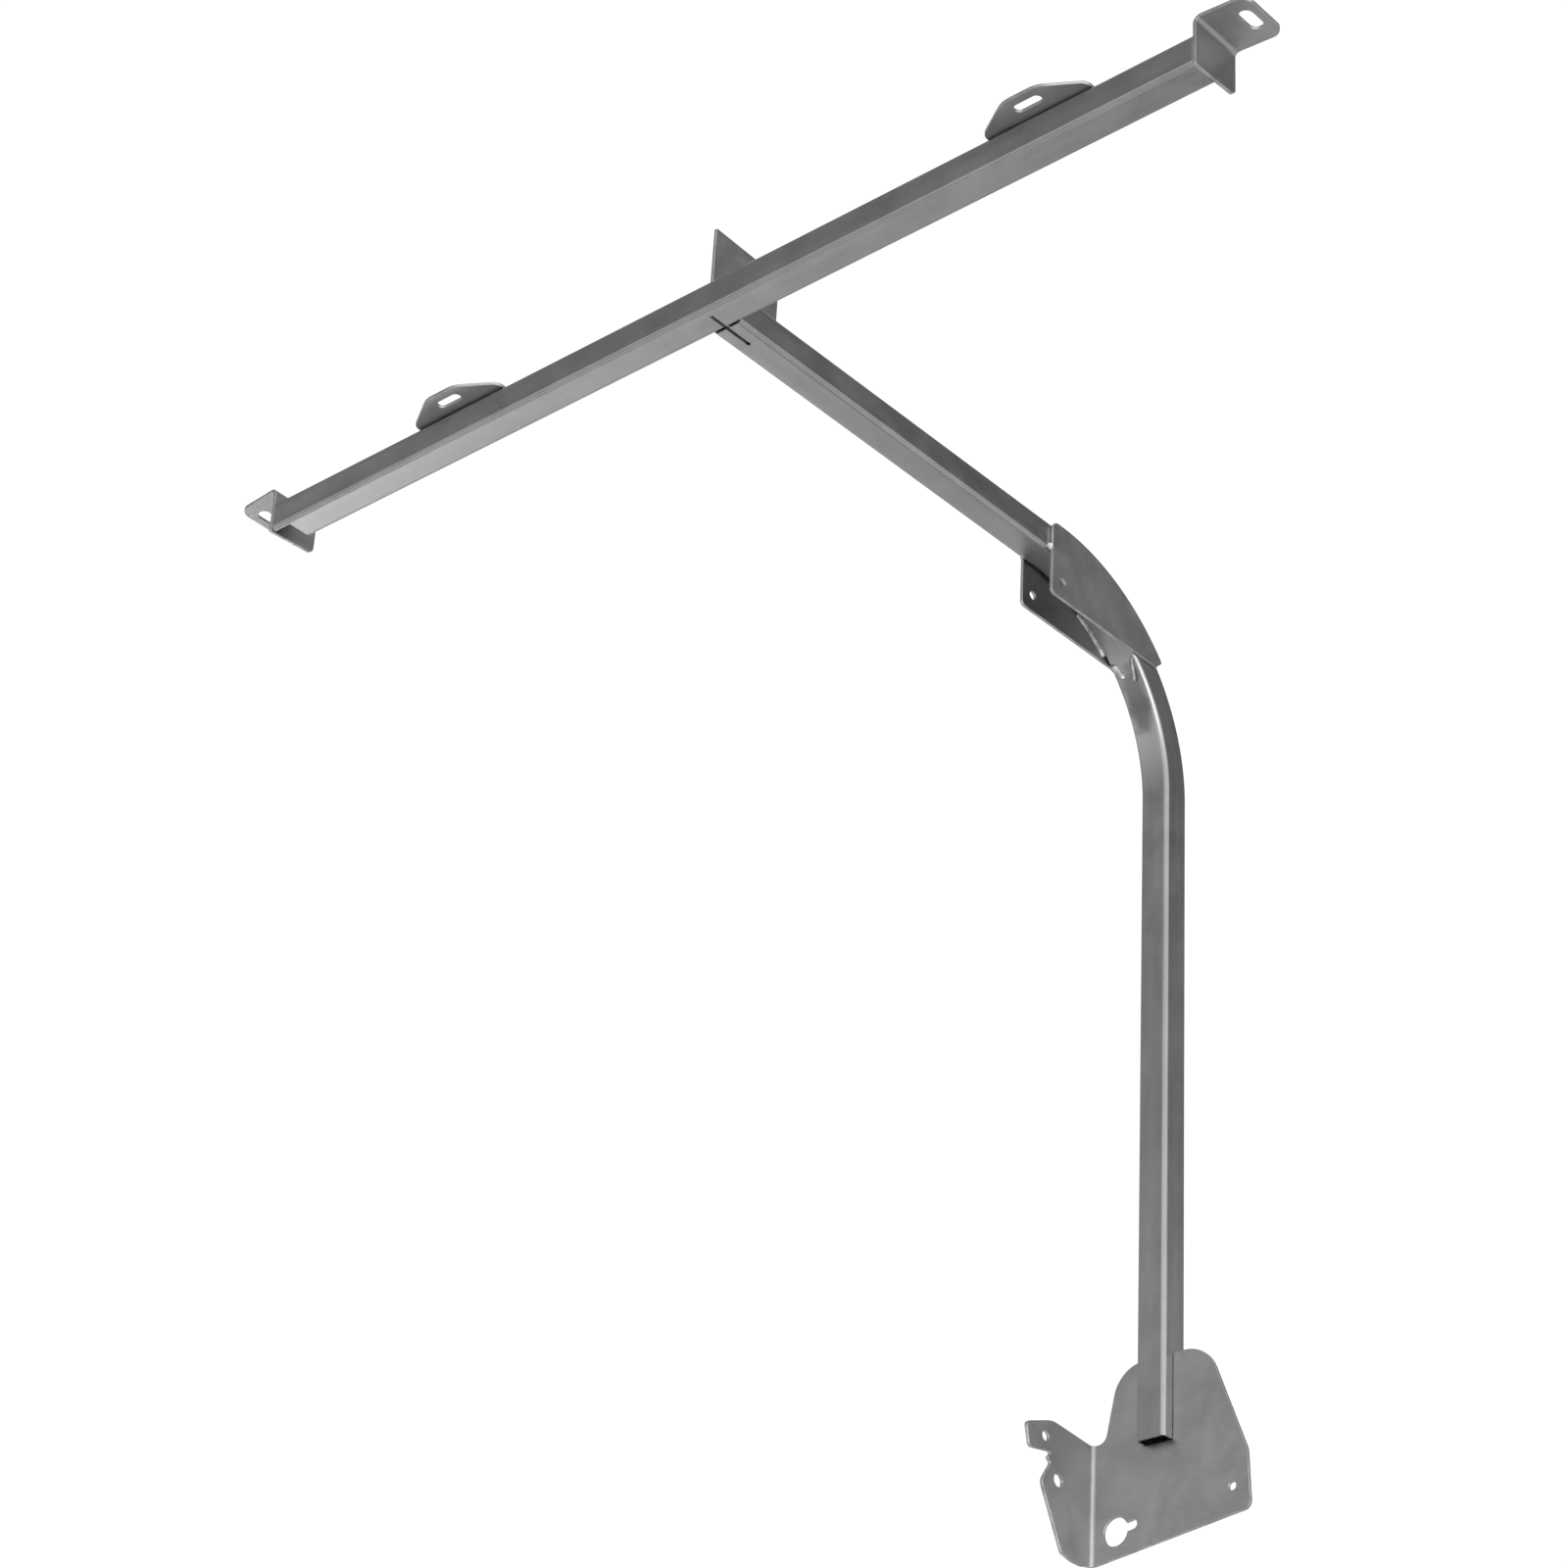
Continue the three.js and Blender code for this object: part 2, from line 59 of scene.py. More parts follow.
TUBE = 30.0
HALF = TUBE / 2
WALL = 2.0
TUBE_CORNER = 4.5
SHEET = 3.0
GAP = 0.3
BAR_LEFT = 529.0
BAR_RIGHT = 501.0
LEFT_RELIEF = 20.0
REACH = 624.5
DROP = 801.0
BEND_RADIUS = 180.0
POST_END = 23.0
BAR_Y = -REACH
BAR_Z = POST_END + DROP
BEND_Y = REACH - BEND_RADIUS
BEND_Z = -BEND_RADIUS
FOLD_INSIDE = 4.0
FOLD_OUTSIDE = FOLD_INSIDE + SHEET

END_REAR = 36.8
END_BOTTOM_FRONT = -16.4
END_BOTTOM_REAR = -13.0
TAB_UNDERSIDE = 29.0
TAB_REACH = 49.6
TAB_DROOP = math.radians(5)
TAB_SLOT = (36.3, 10.2, 12.0, 24.0)

EAR_X = {"left": -291.5, "right": 351.5}
EAR_BASE = 52.0
EAR_TIP = 17.0
EAR_SHOULDER = -19.0
EAR_FRONT = -40.2
EAR_BACK = 6.0
EAR_CORNER = 26.0
EAR_SLOT = (-27.4, 9.0, 26.0)

FIN_FRONT = -8.2
FIN_REAR = 72.0
FIN_TOP_FRONT = 76.5
FIN_TOP_REAR = 73.5
TONGUE_FRONT = -5.2
TONGUE_REAR = 42.8
TONGUE_END = -12.5

ELBOW_FRONT = 432.6
ELBOW_CHORD = -60.6
ELBOW_ARC = (447.0, -180.9, 197.4)
ELBOW_END_Y = 594.6
ELBOW_HEEL_Y = 588.0
ELBOW_HOLE = (447.6, -43.5, 4.25)

FOOT_TOP = 99.7
FOOT_SHELF = 34.6
FLANGE_OUTER_X = -70.8
FOOT_HOLE = (75.0, -31.3, 3.7)
KEYHOLE = (-43.4, -45.8, 12.5, -25.3, -43.0, 4.0)
FLANGE_HOLES = ((-66.9, 22.7, 4.3), (-48.9, -10.6, 5.7))

RIM = 0.45  # rounding of a cut edge
ARC_STEP = math.radians(6)


# ------------------------------------------------------------------ flat outlines


def corner_points(before, corner, after):
    """The points that round one corner (x, y, radius) of an outline off."""
    x, y = corner[:2]
    radius = corner[2] if len(corner) > 2 else 0.6
    here = Vector((x, y))
    if radius == 0:
        return [here]
    back = (Vector(before[:2]) - here).normalized()
    ahead = (Vector(after[:2]) - here).normalized()
    half_angle = math.acos(max(-1.0, min(1.0, back.dot(ahead)))) / 2
    turn = math.pi - half_angle * 2
    if turn < 0.02:
        return [here]
    middle = (back + ahead).normalized() * (radius / math.sin(half_angle))
    centre = here + middle
    apex = -middle.normalized() * radius
    side = -1 if back.cross(ahead) > 0 else 1
    steps = max(3, math.ceil(turn / ARC_STEP))
    points = []
    for i in range(steps + 1):
        angle = side * turn * (i / steps - 0.5)
        points.append(centre + Matrix.Rotation(angle, 2) @ apex)
    return points


def outline(corners):
    """A closed outline through its corners, listed anticlockwise."""
    count = len(corners)
    points = []
    for i, corner in enumerate(corners):
        points += corner_points(corners[i - 1], corner, corners[(i + 1) % count])
    return points


def arc(x, y, radius, start, end):
    steps = max(4, math.ceil(abs(end - start) / math.radians(10)))
    angles = [start + (end - start) * i / steps for i in range(steps + 1)]
    return [Vector((x + radius * math.cos(a), y + radius * math.sin(a))) for a in angles]


def round_hole(x, y, radius):
    return arc(x, y, radius, 0, -2 * math.pi)[:-1]


def slot_hole(ax, ay, bx, by, radius):
    along = math.atan2(by - ay, bx - ax)
    quarter = math.pi / 2
    far = arc(bx, by, radius, along + quarter, along - quarter)
    near = arc(ax, ay, radius, along - quarter, along - 3 * quarter)
    return far + near


def keyhole_loop(x, z, radius, tail_x, tail_z, tail_half):
    along = math.atan2(tail_z - z, tail_x - x)
    mouth = math.asin(tail_half / radius)
    body = arc(x, z, radius, along - mouth, along + mouth - 2 * math.pi)
    tail = arc(tail_x, tail_z, tail_half, along + math.pi / 2, along - math.pi / 2)
    return body + tail


# ------------------------------------------------------------------ sheet pieces


def inset(loop, amount):
    """The loop moved to its left by amount, which is into the sheet."""
    count = len(loop)
    moved = []
    for i, point in enumerate(loop):
        first = (point - loop[i - 1]).normalized()
        second = (loop[(i + 1) % count] - point).normalized()
        n1 = Vector((-first.y, first.x))
        n2 = Vector((-second.y, second.x))
        miter = (n1 + n2) / max(0.4, 1 + n1.dot(n2))
        moved.append(point + miter * amount)
    return moved


def rim_levels(thickness):
    """(inset, height) pairs from the lower face's rim up round the edge to the upper face's rim."""
    steps = 3
    lower = []
    for i in range(steps + 1):
        angle = math.pi / 2 * i / steps
        lower.append((RIM * (1 - math.sin(angle)), RIM * (1 - math.cos(angle))))
    upper = [(amount, thickness - height) for amount, height in reversed(lower)]
    return lower + upper


def covered(point, points, edges):
    """True where a point lies on the sheet: an odd number of edges pass on its right."""
    odd = False
    for i, j in edges:
        a, b = points[i], points[j]
        if (a.y > point.y) != (b.y > point.y):
            if point.x < a.x + (b.x - a.x) * (point.y - a.y) / (b.y - a.y):
                odd = not odd
    return odd


def fill(bm, rings):
    """Fills the flat area between an outer ring of vertices and the rings of its holes."""
    verts = [v for ring in rings for v in ring]
    points = [v.co.to_2d() for v in verts]
    edges, start = [], 0
    for ring in rings:
        count = len(ring)
        edges += [(start + i, start + (i + 1) % count) for i in range(count)]
        start += count
    result = delaunay_2d_cdt(points, edges, [], 0, 1e-7)
    origin = [sources[0] for sources in result[3]]
    for triangle in result[2]:
        corners = [origin[i] for i in triangle]
        middle = (points[corners[0]] + points[corners[1]] + points[corners[2]]) / 3
        if covered(middle, points, edges):
            bm.faces.new([verts[i] for i in corners])


def sheet_bmesh(loops, thickness=SHEET):
    """A flat plate with rounded cut edges. Material slot 1 is the cut edge, slot 0 the sheet's faces."""
    bm = bmesh.new()
    rings = []
    levels = rim_levels(thickness)
    for loop in loops:
        rings.append([
            [bm.verts.new((*p, height)) for p in inset(loop, amount)] for amount, height in levels
        ])
    for ring in rings:
        count = len(ring[0])
        for k in range(len(ring) - 1):
            for i in range(count):
                j = (i + 1) % count
                face = bm.faces.new((ring[k][i], ring[k][j], ring[k + 1][j], ring[k + 1][i]))
                face.material_index = 1
    for level in (0, -1):
        fill(bm, [ring[level] for ring in rings])
    bmesh.ops.recalc_face_normals(bm, faces=bm.faces)
    return bm


def cut_across(bm, positions):
    """Adds edge lines across the plate at each x, so that it can be folded there."""
    for x in positions:
        everything = bm.verts[:] + bm.edges[:] + bm.faces[:]
        bmesh.ops.bisect_plane(bm, geom=everything, dist=1e-4, plane_co=(x, 0, 0), plane_no=(1, 0, 0))


def write_mesh(name, bm, place, materials):
    """Turns a bmesh in mm into an object in metres, each point passed through place."""
    for vert in bm.verts:
        vert.co = Vector(place(*vert.co)) * MM
    bmesh.ops.recalc_face_normals(bm, faces=bm.faces)
    mesh = bpy.data.meshes.new(name)
    bm.to_mesh(mesh)
    bm.free()
    for material in materials:
        mesh.materials.append(material)
    mesh.polygons.foreach_set("use_smooth", [True] * len(mesh.polygons))
    obj = bpy.data.objects.new(name, mesh)
    bpy.context.scene.collection.objects.link(obj)
    return obj


def even_shading(obj):
    modifier = obj.modifiers.new("even_shading", "WEIGHTED_NORMAL")
    modifier.mode = "FACE_AREA"
    modifier.weight = 60
    modifier.keep_sharp = True


def install(obj, node):
    """The piece takes the place of its CAD node and rides on the one body."""
    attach(obj, "root")
    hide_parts(node)


# ------------------------------------------------------------------ procedural materials


class NodeTree:
    """Short calls shared by the materials and the world. A value is a number or another node's output."""

    def __init__(self, tree):
        self.nodes, self.links = tree.nodes, tree.links

    def add(self, kind, **settings):
        node = self.nodes.new(kind)
        for key, value in settings.items():
            setattr(node, key, value)
        return node

    def link(self, source, target):
        self.links.new(source, target)

    def feed(self, socket, value):
        if isinstance(value, (int, float)):
            socket.default_value = value
        else:
            self.link(value, socket)

    def remap(self, value, low, high, to_low, to_high, smooth=False):
        node = self.add("ShaderNodeMapRange", interpolation_type="SMOOTHSTEP" if smooth else "LINEAR")
        self.feed(node.inputs["Value"], value)
        for key, given in zip(("From Min", "From Max", "To Min", "To Max"), (low, high, to_low, to_high)):
            self.feed(node.inputs[key], given)
        return node.outputs["Result"]


class Graph(NodeTree):
    """A new material and the calls that build its nodes."""

    def __init__(self, name):
        self.material = bpy.data.materials.new(name)
        self.material.use_nodes = True
        super().__init__(self.material.node_tree)
        self.shader = self.nodes["Principled BSDF"]

    def coordinates(self, output, scale):
        texture = self.add("ShaderNodeTexCoord")
        mapping = self.add("ShaderNodeMapping")
        mapping.inputs["Scale"].default_value = scale
        self.link(texture.outputs[output], mapping.inputs["Vector"])
        return mapping.outputs["Vector"]

    def noise(self, vector, scale, detail=4.0, roughness=0.5, distortion=0.0):
        node = self.add("ShaderNodeTexNoise")
        node.inputs["Scale"].default_value = scale
        node.inputs["Detail"].default_value = detail
        node.inputs["Roughness"].default_value = roughness
        node.inputs["Distortion"].default_value = distortion
        self.link(vector, node.inputs["Vector"])
        return node.outputs["Fac"]

    def math(self, operation, a, b):
        node = self.add("ShaderNodeMath", operation=operation)
        for socket, value in zip(node.inputs, (a, b)):
            self.feed(socket, value)
        return node.outputs["Value"]

    def mix(self, factor, a, b):
        node = self.add("ShaderNodeMix", data_type="RGBA")
        self.link(factor, node.inputs["Factor"])
        for socket, value in ((node.inputs[6], a), (node.inputs[7], b)):
            if isinstance(value, tuple):
                socket.default_value = (*value, 1.0)
            else:
                self.link(value, socket)
        return node.outputs[2]

    def closeness(self, centre, reach, ragged):
        """1 at a point (m) of the object, falling raggedly to 0 at a distance of reach, sooner along x."""
        texture = self.add("ShaderNodeTexCoord")
        offset = self.add("ShaderNodeVectorMath", operation="SUBTRACT")
        self.link(texture.outputs["Object"], offset.inputs[0])
        offset.inputs[1].default_value = centre
        stretched = self.add("ShaderNodeVectorMath", operation="MULTIPLY")
        self.link(offset.outputs["Vector"], stretched.inputs[0])
        stretched.inputs[1].default_value = (PAINTED_SHADE_SQUEEZE, 1.0, 1.0)
        away = self.add("ShaderNodeVectorMath", operation="LENGTH")
        self.link(stretched.outputs["Vector"], away.inputs[0])
        uneven = self.math("MULTIPLY", away.outputs["Value"], self.remap(ragged, 0.3, 0.7, 0.75, 1.25))
        return self.remap(uneven, reach * PAINTED_SHADE_FADE_END, reach * PAINTED_SHADE_FADE_START, 0, 1, True)

    def bump(self, height, strength, distance, below=None):
        node = self.add("ShaderNodeBump")
        node.inputs["Strength"].default_value = strength
        node.inputs["Distance"].default_value = distance
        self.link(height, node.inputs["Height"])
        if below is not None:
            self.link(below, node.inputs["Normal"])
        return node.outputs["Normal"]


BEND_INSIDE = BEND_RADIUS - HALF
# Painted shade: a dark patch painted on the bend's inner face just past the gusset plates' heels, across the
# face between them, where shade falls.
PAINTED_SHADE_REACH = 0.034
PAINTED_SHADE_STRENGTH = 0.8
PAINTED_SHADE_SQUEEZE = 2.8
PAINTED_SHADE_FADE_START = 0.55
PAINTED_SHADE_FADE_END = 1.15
PAINTED_SHADE_ANGLE = math.radians(58)
PAINTED_SHADE_CENTRE = Vector((
    0.0,
    BAR_Y + BEND_Y + BEND_INSIDE * math.sin(PAINTED_SHADE_ANGLE),
    BAR_Z + BEND_Z + BEND_INSIDE * math.cos(PAINTED_SHADE_ANGLE),
)) * MM


def grey(value, warmth=0.0):
    return (value * (1 + warmth), value, value * (1 - warmth))


def tube_steel():
    """Drawn tube: streaks along its length, cloudy patches, and a patch of painted shade beside the heel
    welds.
    """
    g = Graph("tube_steel")
    g.shader.inputs["Metallic"].default_value = 1.0
    lengthwise = g.coordinates("UV", (320.0, 3.0, 1.0))
    patches = g.coordinates("Object", (1.0, 1.0, 1.0))
    streak = g.noise(lengthwise, 1.0, detail=6, roughness=0.65)
    broad = g.noise(g.coordinates("UV", (90.0, 1.6, 1.0)), 1.0, detail=3, roughness=0.5)
    cloud = g.noise(patches, 22.0, detail=5, roughness=0.6, distortion=0.4)
    grain = g.noise(patches, 900.0, detail=3, roughness=0.7)
    tone = g.mix(g.remap(cloud, 0.3, 0.72, 0, 1, True), grey(0.38), grey(0.455, 0.006))
    tone = g.mix(g.remap(broad, 0.35, 0.7, 0, 0.55, True), tone, grey(0.33, -0.004))
    tone = g.mix(g.remap(streak, 0.45, 0.75, 0, 0.4, True), tone, grey(0.53))
    # painted shade, darkening the bend's inner face beside the heel welds
    painted_shade = g.closeness(PAINTED_SHADE_CENTRE, PAINTED_SHADE_REACH, g.noise(patches, 70.0, detail=3))
    tone = g.mix(g.math("MULTIPLY", painted_shade, PAINTED_SHADE_STRENGTH), tone, grey(0.2, 0.01))
    g.link(tone, g.shader.inputs["Base Color"])
    rough = g.math("ADD", g.remap(cloud, 0.3, 0.7, 0.25, 0.34), g.remap(streak, 0.3, 0.7, -0.03, 0.05))
    g.link(rough, g.shader.inputs["Roughness"])
    soft = g.bump(g.noise(patches, 40.0, detail=1), 0.16, 0.0006)
    fine = g.bump(streak, 0.06, 0.00012, soft)
    g.link(g.bump(grain, 0.03, 0.00006, fine), g.shader.inputs["Normal"])
    return g.material


def sheet_steel():
    """Rolled sheet: an even dull grey with a faint rolling grain and cloudy handling marks."""
    g = Graph("sheet_steel")
    g.shader.inputs["Metallic"].default_value = 1.0
    patches = g.coordinates("Object", (1.0, 1.0, 1.0))
    rolling = g.noise(g.coordinates("Object", (60.0, 60.0, 900.0)), 1.0, detail=4, roughness=0.6)
    cloud = g.noise(patches, 30.0, detail=6, roughness=0.62, distortion=0.6)
    grain = g.noise(patches, 1400.0, detail=2, roughness=0.7)
    tone = g.mix(g.remap(cloud, 0.3, 0.72, 0, 1, True), grey(0.37), grey(0.44, 0.005))
    tone = g.mix(g.remap(rolling, 0.42, 0.78, 0, 0.4, True), tone, grey(0.5))
    g.link(tone, g.shader.inputs["Base Color"])
    rough = g.math("ADD", g.remap(cloud, 0.3, 0.7, 0.34, 0.43), g.remap(grain, 0.3, 0.7, -0.03, 0.03))
    g.link(rough, g.shader.inputs["Roughness"])
    soft = g.bump(g.noise(patches, 40.0, detail=1), 0.08, 0.0005)
    fine = g.bump(rolling, 0.03, 0.00008, soft)
    g.link(g.bump(grain, 0.03, 0.00006, fine), g.shader.inputs["Normal"])
    return g.material


def cut_edge():
    """A cut edge of the sheet: striped across its thickness and a little brighter."""
    g = Graph("cut_edge")
    g.shader.inputs["Metallic"].default_value = 1.0
    place = g.coordinates("Object", (1.0, 1.0, 1.0))
    stripes = g.noise(place, 1100.0, detail=3, roughness=0.6)
    cloud = g.noise(place, 60.0, detail=4)
    tone = g.mix(g.remap(stripes, 0.35, 0.7, 0, 1, True), grey(0.46), grey(0.68, 0.01))
    tone = g.mix(g.remap(cloud, 0.4, 0.7, 0, 0.6, True), tone, grey(0.27))
    g.link(tone, g.shader.inputs["Base Color"])
    g.link(g.remap(cloud, 0.3, 0.7, 0.34, 0.48), g.shader.inputs["Roughness"])
    g.link(g.bump(stripes, 0.25, 0.00012), g.shader.inputs["Normal"])
    return g.material


def weld_metal():
    """Weld metal: brighter crests, darker oxide between them and a speckled surface."""
    g = Graph("weld_metal")
    g.shader.inputs["Metallic"].default_value = 1.0
    place = g.coordinates("Object", (1.0, 1.0, 1.0))
    cloud = g.noise(place, 160.0, detail=5, roughness=0.65)
    speck = g.noise(place, 1600.0, detail=3, roughness=0.6)
    tone = g.mix(g.remap(cloud, 0.34, 0.68, 0, 1, True), grey(0.34, 0.02), grey(0.78, 0.006))
    tone = g.mix(g.remap(speck, 0.6, 0.8, 0, 0.7, True), tone, grey(0.16, 0.02))
    g.link(tone, g.shader.inputs["Base Color"])
    g.link(g.remap(cloud, 0.3, 0.7, 0.42, 0.26), g.shader.inputs["Roughness"])
    g.link(g.bump(speck, 0.3, 0.0002), g.shader.inputs["Normal"])
    return g.material


TUBE_STEEL = tube_steel()
SHEET_STEEL = sheet_steel()
CUT_EDGE = cut_edge()
WELD_METAL = weld_metal()


# ------------------------------------------------------------------ tubes


def section(half, radius):
    """Points round a rounded square, anticlockwise, with the same count for every size."""
    points = []
    steps = 8
    for quarter in range(4):
        centre = Matrix.Rotation(quarter * math.pi / 2, 2) @ Vector((half - radius, half - radius))
        for i in range(steps + 1):
            angle = math.pi / 2 * (quarter + i / steps)
            points.append(centre + Vector((math.cos(angle), math.sin(angle))) * radius)
    return points


def tube_rings(length, stops):
    """(distance, growth, outer?) for each ring: outside surface, far rim, inside surface, near rim."""
    rim = 0.35
    near = [(0.0, -rim), (rim * 0.3, -rim * 0.3), (rim, 0.0)]
    far = [(length - distance, growth) for distance, growth in reversed(near)]
    outside = near + [(stop, 0.0) for stop in stops] + far
    rings = [(distance, growth, True) for distance, growth in outside]
    return rings + [(distance, growth, False) for distance, growth in reversed(outside)]


def tube_piece(name, length, stops, place, cutter_boxes):
    """A square tube with open ends. place takes (distance, across, out) to the row frame in mm."""
    bm = bmesh.new()
    uv = bm.loops.layers.uv.new("along")
    rings = []
    inner = HALF - WALL
    for distance, growth, outside in tube_rings(length, stops):
        if outside:
            points = section(HALF + growth, TUBE_CORNER + growth)
        else:
            points = section(inner - growth, TUBE_CORNER - WALL - growth)
        rings.append((distance, [bm.verts.new((distance, *p)) for p in points]))
    count = len(rings[0][1])
    perimeter = TUBE * 4 * MM
    for k, (distance, ring) in enumerate(rings):
        next_distance, following = rings[(k + 1) % len(rings)]
        for i in range(count):
            j = (i + 1) % count
            face = bm.faces.new((ring[i], ring[j], following[j], following[i]))
            around = (i / count * perimeter, (i + 1) / count * perimeter)
            near = [(u, distance) for u in around]
            far = [(u, next_distance) for u in reversed(around)]
            for loop, (u, v) in zip(face.loops, near + far):
                loop[uv].uv = (u, v * MM)
    obj = write_mesh(name, bm, place, [TUBE_STEEL])
    for low, high in cutter_boxes:
        cut_box(obj, low, high)
    even_shading(obj)
    return obj


def cut_box(obj, low, high):
    """Cuts a box-shaped slot, its corners in mm, out of the piece."""
    bm = bmesh.new()
    bmesh.ops.create_cube(bm, size=1.0)
    low, high = Vector(low), Vector(high)
    for vert in bm.verts:
        vert.co = Vector(low[i] + (high[i] - low[i]) * (vert.co[i] + 0.5) for i in range(3)) * MM
    mesh = bpy.data.meshes.new("slot_cutter")
    bm.to_mesh(mesh)
    bm.free()
    cutter = bpy.data.objects.new("slot_cutter", mesh)
    bpy.context.scene.collection.objects.link(cutter)
    modifier = obj.modifiers.new("slot", "BOOLEAN")
    modifier.operation = "DIFFERENCE"
    modifier.solver = "EXACT"
    modifier.object = cutter
    bpy.context.view_layer.update()
    graph = bpy.context.evaluated_depsgraph_get()
    result = bpy.data.meshes.new_from_object(obj.evaluated_get(graph))
    obj.modifiers.remove(modifier)
    old = obj.data
    obj.data = result
    bpy.data.meshes.remove(old)
    bpy.data.objects.remove(cutter)
    bpy.data.meshes.remove(mesh)


def crossbar():
    """The level tube, with the slot for the fin's tongue and the relief at its left end."""
    length = BAR_LEFT + BAR_RIGHT

    def place(distance, across, up):
        return (distance - BAR_LEFT, BAR_Y + across, BAR_Z + up)

    side = SHEET / 2 + GAP
    low = (-side, BAR_Y + TONGUE_FRONT - GAP, BAR_Z - TUBE)
    high = (side, BAR_Y + TUBE, BAR_Z + TUBE)
    flat = HALF - TUBE_CORNER
    relief_low = (-BAR_LEFT - SHEET, BAR_Y - flat, BAR_Z - TUBE)
    relief_high = (-BAR_LEFT + LEFT_RELIEF, BAR_Y + TUBE, BAR_Z + flat)
    stops = [length * i / 12 for i in range(1, 12)]
    cuts = [(low, high), (relief_low, relief_high)]
    return tube_piece("crossbar_tube_fine", length, stops, place, cuts)


ARM_START = HALF + GAP
ARM_LENGTH = BEND_Y - ARM_START
BEND_LENGTH = BEND_RADIUS * math.pi / 2
POST_LENGTH = DROP - BEND_RADIUS
OUTER_FLATTENING = 0.55
INNER_DENT = 0.5


def bend_share(distance):
    """0 at the arm's end of the bend, 1 at the post's."""
    return (distance - ARM_LENGTH) / BEND_LENGTH


def bend_dent(share, across, out):
    """How far the bend pulls a wall in: the inner wall puckers and the outer one flattens."""
    if not 0 < share < 1 or abs(out) < HALF - WALL - 1:
        return 0.0
    ease = math.sin(math.pi * share) ** 0.5
    across_ease = max(0.0, 1 - (across / (HALF - TUBE_CORNER + 1.5)) ** 2)
    if out > 0:
        return -OUTER_FLATTENING * ease * across_ease
    pucker = INNER_DENT + 0.16 * math.sin(share * 31) + 0.1 * math.sin(share * 57 + 1.3)
    return pucker * ease * across_ease


def arm_place(distance, across, out):
    if distance <= ARM_LENGTH:
        y, z = ARM_START + distance, out
    elif distance >= ARM_LENGTH + BEND_LENGTH:
        past = distance - ARM_LENGTH - BEND_LENGTH
        y, z = REACH + out, BEND_Z - past
    else:
        share = bend_share(distance)
        angle = share * math.pi / 2
        radius = BEND_RADIUS + out + bend_dent(share, across, out)
        y = BEND_Y + radius * math.sin(angle)
        z = BEND_Z + radius * math.cos(angle)
    return (across, BAR_Y + y, BAR_Z + z)


def arm_stops():
    """Where the arm and post have cross-sections: close together round the bend."""
    bend_steps = 60
    stops = [ARM_LENGTH * i / 6 for i in range(1, 6)]
    stops += [ARM_LENGTH + BEND_LENGTH * i / bend_steps for i in range(bend_steps + 1)]
    stops += [ARM_LENGTH + BEND_LENGTH + POST_LENGTH * i / 8 for i in range(1, 8)]
    return stops


def arm_and_post():
    side = SHEET / 2 + GAP
    low = (-side, BAR_Y, BAR_Z - TUBE)
    high = (side, BAR_Y + TONGUE_REAR + GAP, BAR_Z + TUBE)
    length = ARM_LENGTH + BEND_LENGTH + POST_LENGTH
    return tube_piece("arm_post_tube_fine", length, arm_stops(), arm_place, [(low, high)])


# ------------------------------------------------------------------ sheet parts


def sheet_piece(name, loops, place, folds=()):
    bm = sheet_bmesh(loops)
    cut_across(bm, folds)
    obj = write_mesh(name, bm, place, [SHEET_STEEL, CUT_EDGE])
    even_shading(obj)
    return obj


END_TURN = math.pi / 2 + TAB_DROOP
END_FOLD_START = TAB_UNDERSIDE - FOLD_INSIDE
END_FOLD_LENGTH = (FOLD_INSIDE + SHEET / 2) * END_TURN


def end_bracket(side):
    """side is +1 for the right-hand bracket and -1 for its mirror image."""
    fold_end = END_FOLD_START + END_FOLD_LENGTH
    tip = fold_end + TAB_REACH - FOLD_OUTSIDE
    slot_x, slot_y, width, length = TAB_SLOT
    slot_p = fold_end + slot_x - FOLD_OUTSIDE
    half = (length - width) / 2
    blank = outline([
        (END_BOTTOM_FRONT, -HALF, 1.5),
        (tip, -HALF, 11),
        (tip, END_REAR, 11),
        (END_BOTTOM_REAR, END_REAR, 6),
    ])
    slot = slot_hole(slot_p, slot_y - half, slot_p, slot_y + half, width / 2)
    face_x = BAR_RIGHT + GAP if side > 0 else -BAR_LEFT - GAP

    def place(p, q, depth):
        radius = FOLD_OUTSIDE - depth
        turn = max(0.0, min(1.0, (p - END_FOLD_START) / END_FOLD_LENGTH)) * END_TURN
        past = max(0.0, p - fold_end)
        before = min(0.0, p - END_FOLD_START)
        x = FOLD_OUTSIDE - radius * math.cos(turn) + past * math.sin(turn)
        z = END_FOLD_START + radius * math.sin(turn) + past * math.cos(turn) + before
        return (face_x + side * x, BAR_Y + q, BAR_Z + z)

    folds = [END_FOLD_START + END_FOLD_LENGTH * i / 10 for i in range(11)]
    name = "right_end_bracket_fine" if side > 0 else "left_end_bracket_fine"
    return sheet_piece(name, [blank, slot], place, folds)


def ear(hand):
    x = EAR_X[hand]
    slot_y, width, length = EAR_SLOT
    half = (length - width) / 2
    shape = outline([
        (x - EAR_BASE, EAR_BACK, 2),
        (x - EAR_BASE, EAR_SHOULDER, 10),
        (x - EAR_TIP, EAR_FRONT, EAR_CORNER),
        (x + EAR_TIP, EAR_FRONT, EAR_CORNER),
        (x + EAR_BASE, EAR_SHOULDER, 10),
        (x + EAR_BASE, EAR_BACK, 2),
    ])
    slot = slot_hole(x - half, slot_y, x + half, slot_y, width / 2)

    def place(u, v, depth):
        return (u, BAR_Y + v, BAR_Z + HALF + GAP + depth)

    return sheet_piece(f"{hand}_ear_fine", [shape, slot], place)


